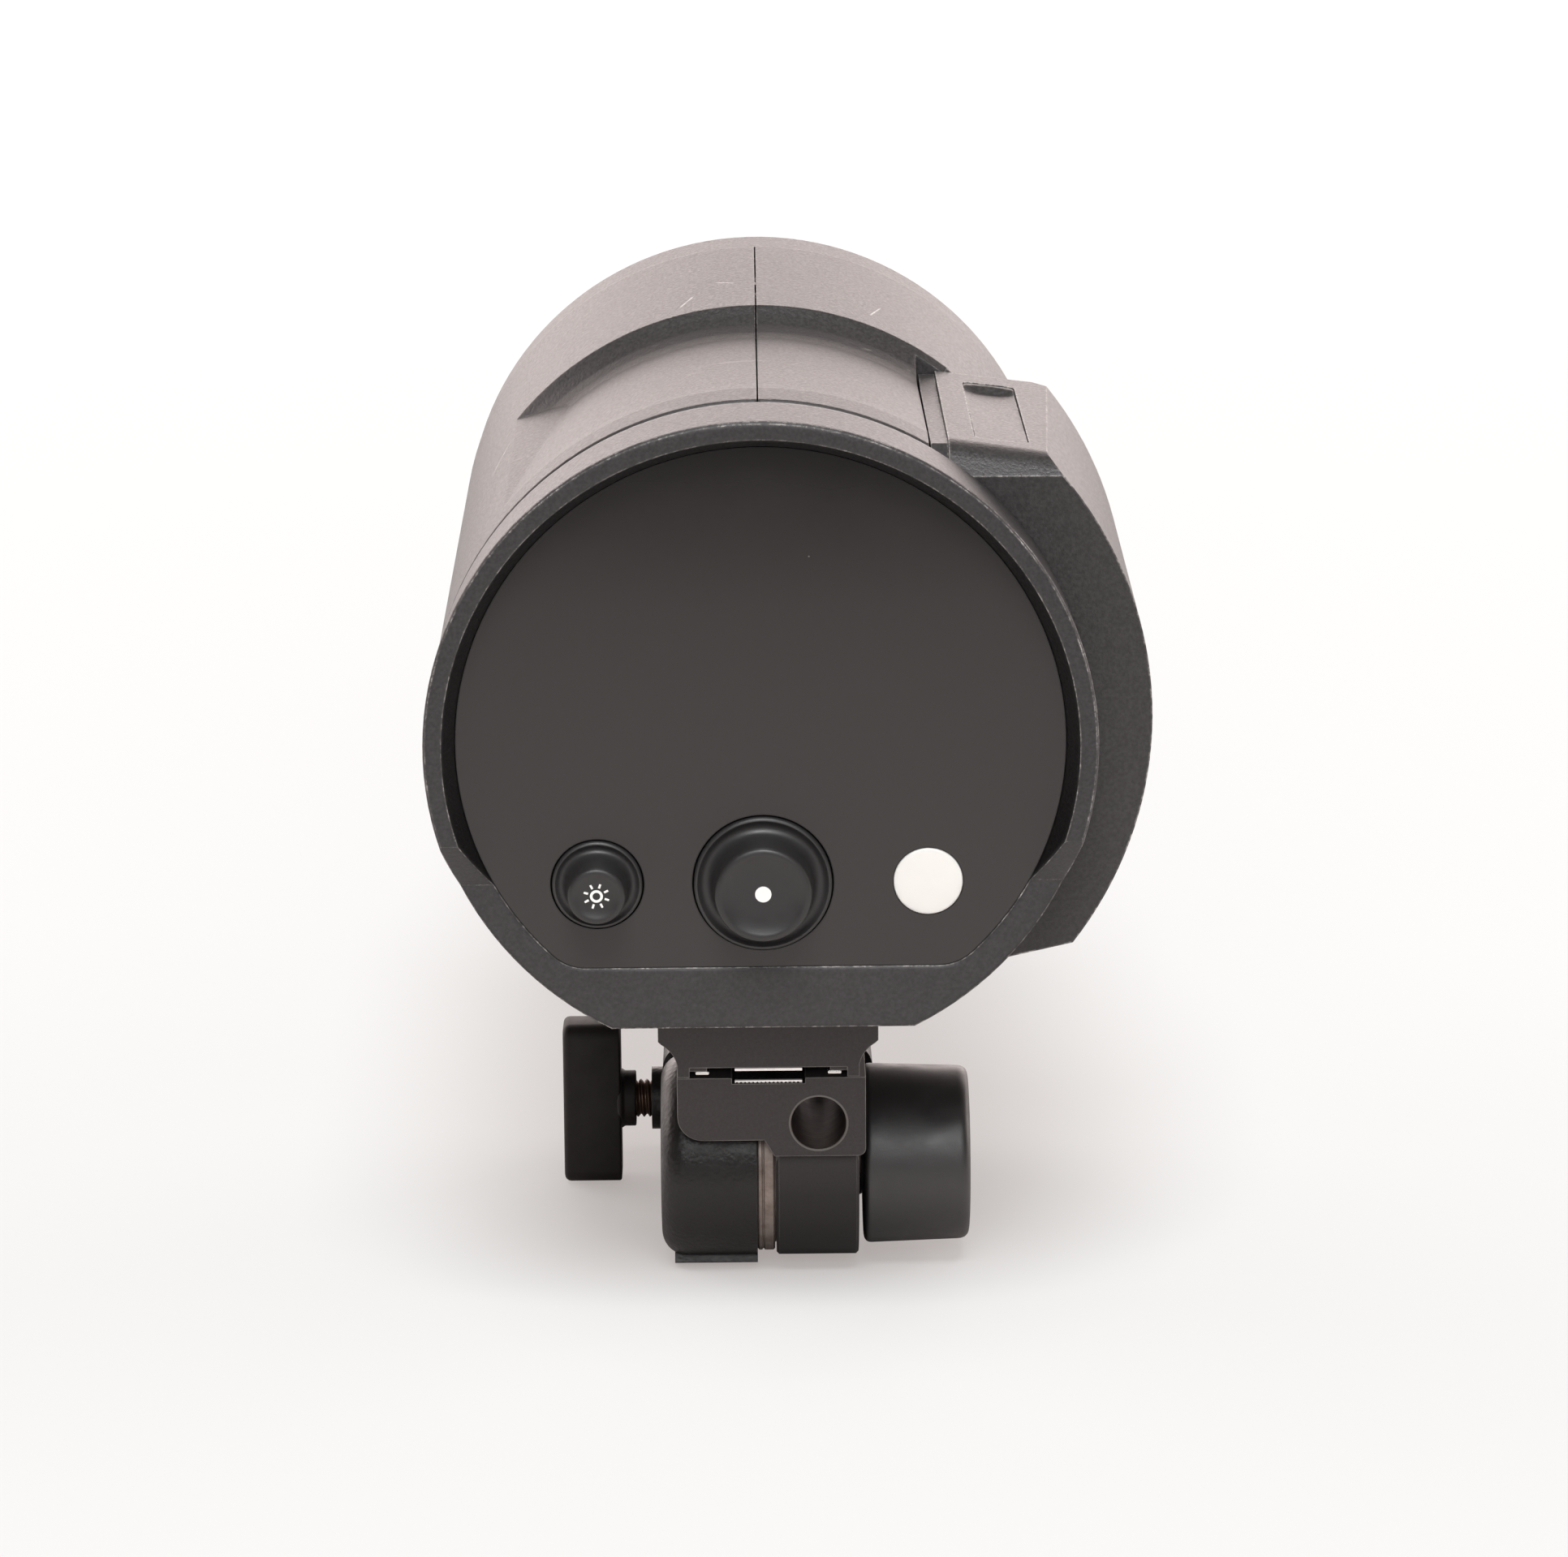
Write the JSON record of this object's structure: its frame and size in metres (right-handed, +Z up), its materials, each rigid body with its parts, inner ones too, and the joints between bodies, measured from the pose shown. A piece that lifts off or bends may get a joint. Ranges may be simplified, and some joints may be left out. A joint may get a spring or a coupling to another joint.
{
  "type": "portable studio flash",
  "caption": "Battery studio flash with a round body, rear display window and controls, side battery, front collar and a folding tilt adapter for a light stand.",
  "frame": {"origin": "centre of the bounding box on the surface it stands on", "axes": "+Y is the way the flash fires, +X is right seen from behind, +Z is up"},
  "size_m": [0.1372, 0.2472, 0.1863],
  "materials": {
    "casing": "fine moulded texture",
    "pack_plastic": "fine moulded texture",
    "inner_plastic": "moulded",
    "window": "smoked, satin",
    "display": "dark glass",
    "diffuser": "translucent white",
    "white_mark": "white",
    "knob_plastic": "satin black",
    "circuit_board": "solder mask",
    "component_black": "moulded",
    "copper": "enamelled wire",
    "capacitor_can": "sleeved can",
    "collar_rubber": "matt",
    "reflector": "bright anodised",
    "ceramic": "unglazed",
    "tube_glass": "clear quartz",
    "led": "phosphor dome",
    "front_glass": "frosted",
    "steel": "polished",
    "screw_steel": "browned",
    "washer_steel": "brushed",
    "brass": "machined",
    "painted_aluminium": "black anodised",
    "cast_alloy": "powder coated casting",
    "cell_wrap": "shrink sleeve"
  },
  "bodies": {
    "head": {"rear_bezel": "casing", "display_panel": "window", "sensor_window": "diffuser", "display_module": "display", "rear_board": "circuit_board", "encoder": "component_black", "model_switch": "component_black", "left_shell": "casing", "right_shell": "casing", "battery_contacts": "component_black", "front_ring": "casing", "chassis": "inner_plastic", "capacitor_board": "circuit_board", "capacitor_bank": "capacitor_can", "power_board": "circuit_board", "charging_choke": "copper", "fan_frame": "inner_plastic", "collar_core": "inner_plastic", "mount_collar": "collar_rubber", "reflector_bowl": "reflector", "tube_base": "ceramic", "base_carrier": "inner_plastic", "flash_tube": "tube_glass", "modelling_led": "led", "foot_rail": "painted_aluminium", "lock_plate": "steel", "rail_screws": "steel"},
    "fan_rotor": {"fan_rotor": "inner_plastic"},
    "knob_plunger": {"knob_plunger": "steel"},
    "control_knob": {"control_knob": "knob_plastic", "knob_dot": "white_mark"},
    "model_button": {"model_button": "knob_plastic"},
    "front_cover": {"glass_cover": "front_glass", "cover_ring": "casing"},
    "battery": {"battery_cover": "pack_plastic", "battery_tray": "pack_plastic", "battery_cells": "cell_wrap", "battery_board": "circuit_board", "latch_spring": "steel"},
    "battery_latch": {"battery_latch": "pack_plastic"},
    "bracket": {"tilt_bracket": "painted_aluminium", "rack_strip": "steel", "hinge_bolt": "steel", "slot_nuts": "steel", "bracket_screws": "steel"},
    "tilt_knob": {"tilt_knob": "knob_plastic", "knob_insert": "steel"},
    "arm": {"socket_arm": "cast_alloy", "friction_washer": "washer_steel", "thread_bush": "brass"},
    "pressure_pad": {"pressure_pad": "brass"},
    "clamp_screw": {"clamp_screw": "screw_steel", "t_handle": "knob_plastic"}
  },
  "joints": [
    {"name": "knob_press", "type": "slide", "parent": "head", "child": "knob_plunger", "axis": [0, 1, 0], "range_m": [0, 0.0008], "stiffness_N_per_m": 1500},
    {"name": "knob_turn", "type": "hinge", "parent": "knob_plunger", "child": "control_knob", "pos_m": [-0.00545, -0.1204, 0.0962], "axis": [0, 1, 0], "continuous": true},
    {"name": "model_button_press", "type": "hinge", "parent": "head", "child": "model_button", "pos_m": [-0.03665, -0.1138, 0.0877], "axis": [-1, 0, 0], "range_deg": [0, 5], "stiffness_Nm_per_rad": 0.2},
    {"name": "fan_spin", "type": "hinge", "parent": "head", "child": "fan_rotor", "pos_m": [-0.00565, 0.0136, 0.1233], "axis": [0, 1, 0], "continuous": true},
    {"name": "front_cover_pull", "type": "slide", "parent": "head", "child": "front_cover", "axis": [0, 1, 0], "range_m": [0, 0.03]},
    {"name": "battery_slide", "type": "slide", "parent": "head", "child": "battery", "axis": [1, 0, 0], "range_m": [0, 0.06]},
    {"name": "battery_latch_press", "type": "slide", "parent": "battery", "child": "battery_latch", "axis": [0, 0, -1], "range_m": [0, 0.0012], "stiffness_N_per_m": 1500, "deforming": ["latch_spring"]},
    {"name": "bracket_slide", "type": "slide", "parent": "head", "child": "bracket", "axis": [0, 1, 0], "range_m": [-0.02, 0.012]},
    {"name": "tilt", "type": "hinge", "parent": "bracket", "child": "arm", "pos_m": [-0.00565, -0.0604, 0.0215], "axis": [1, 0, 0], "range_deg": [-135, 0]},
    {"name": "tilt_knob_turn", "type": "hinge", "parent": "bracket", "child": "tilt_knob", "pos_m": [-0.00565, -0.0604, 0.0215], "axis": [1, 0, 0], "range_deg": [-180, 90]},
    {"name": "clamp_feed", "type": "slide", "parent": "arm", "child": "pressure_pad", "axis": [1, 0, 0], "range_m": [-0.00375, 0.00187]},
    {"name": "clamp_turn", "type": "hinge", "parent": "pressure_pad", "child": "clamp_screw", "pos_m": [-0.03565, -0.01655, 0.01783], "axis": [1, 0, 0], "range_deg": [-1080, 540]}
  ],
  "couplings": [
    {"joint": "clamp_turn", "follows": "clamp_feed", "rad_per_m": 5026.5}
  ]
}
